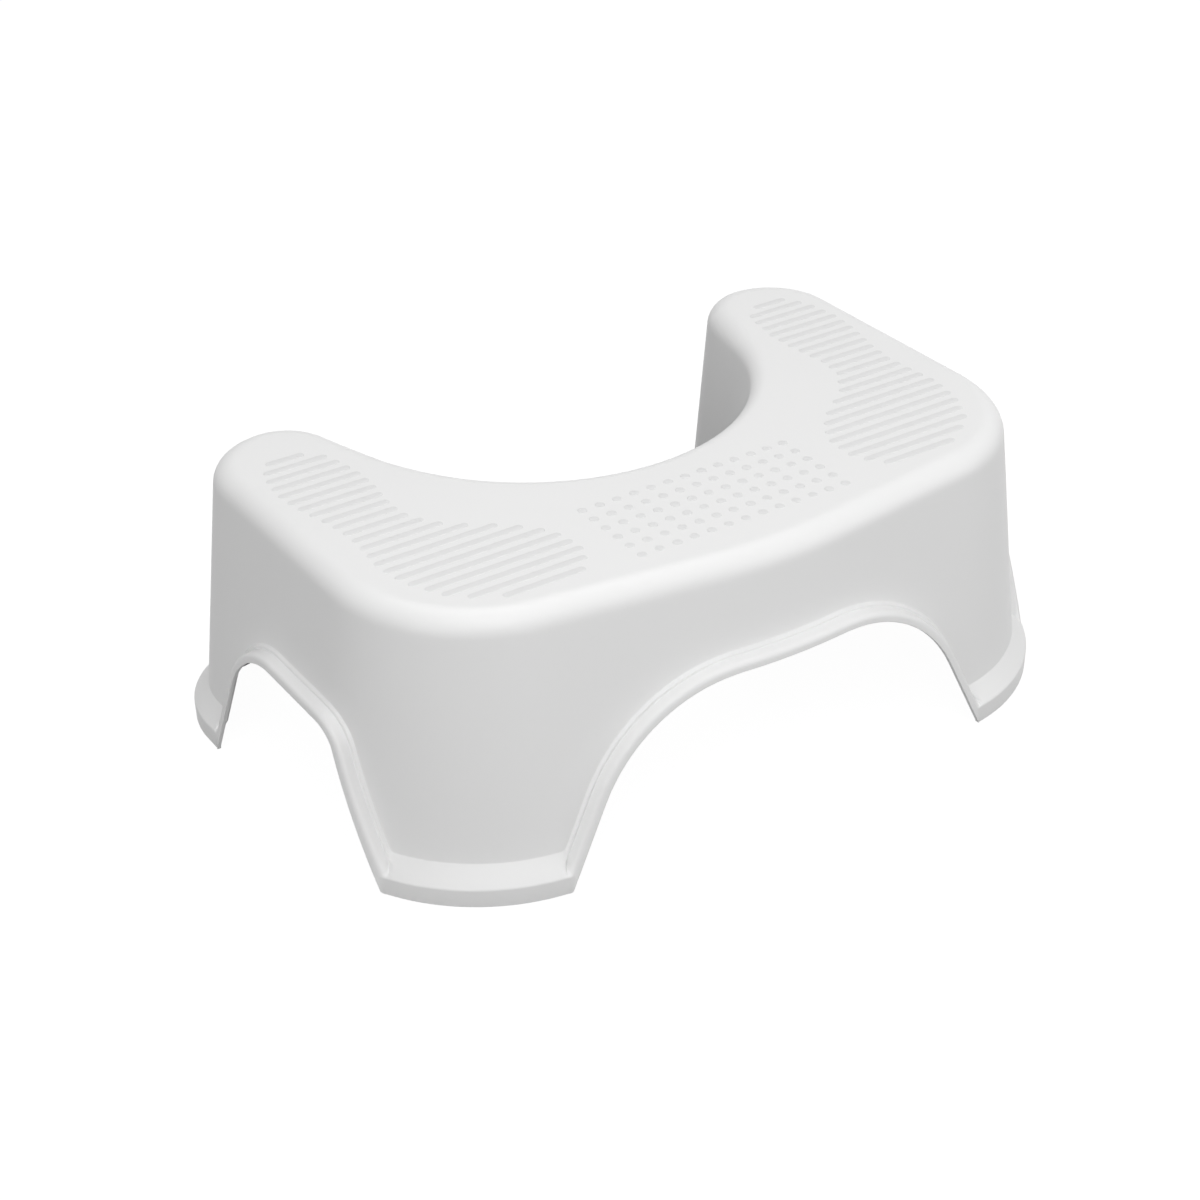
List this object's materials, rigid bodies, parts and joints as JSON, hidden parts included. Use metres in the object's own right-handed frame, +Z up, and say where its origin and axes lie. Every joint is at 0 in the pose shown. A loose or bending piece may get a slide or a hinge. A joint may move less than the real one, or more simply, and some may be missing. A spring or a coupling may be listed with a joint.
{
  "type": "toilet footstool",
  "caption": "Low horseshoe-shaped white plastic footstool that fits round a toilet, with arched sides, four feet, ribbed footprint treads and a dotted centre tread.",
  "frame": {"origin": "on the floor, under the middle of the stool's bounding box", "axes": "+Z up, +X to the right along the long side, +Y towards the toilet, so the recess opens along +Y and the front arch looks along -Y"},
  "size_m": [0.523, 0.3452, 0.1818],
  "materials": {
    "shell_plastic": "satin injection-moulded white, fine even texture",
    "tread_soft_plastic": "soft-touch, very light grey",
    "pad_rubber": "matte grey rubber"
  },
  "bodies": {
    "root": {"stool_shell": "shell_plastic", "left_foot_tread": "tread_soft_plastic", "right_foot_tread": "tread_soft_plastic", "centre_dot_tread": "tread_soft_plastic", "front_left_foot_pad": "pad_rubber", "front_right_foot_pad": "pad_rubber", "rear_left_foot_pad": "pad_rubber", "rear_right_foot_pad": "pad_rubber"}
  },
  "joints": []
}
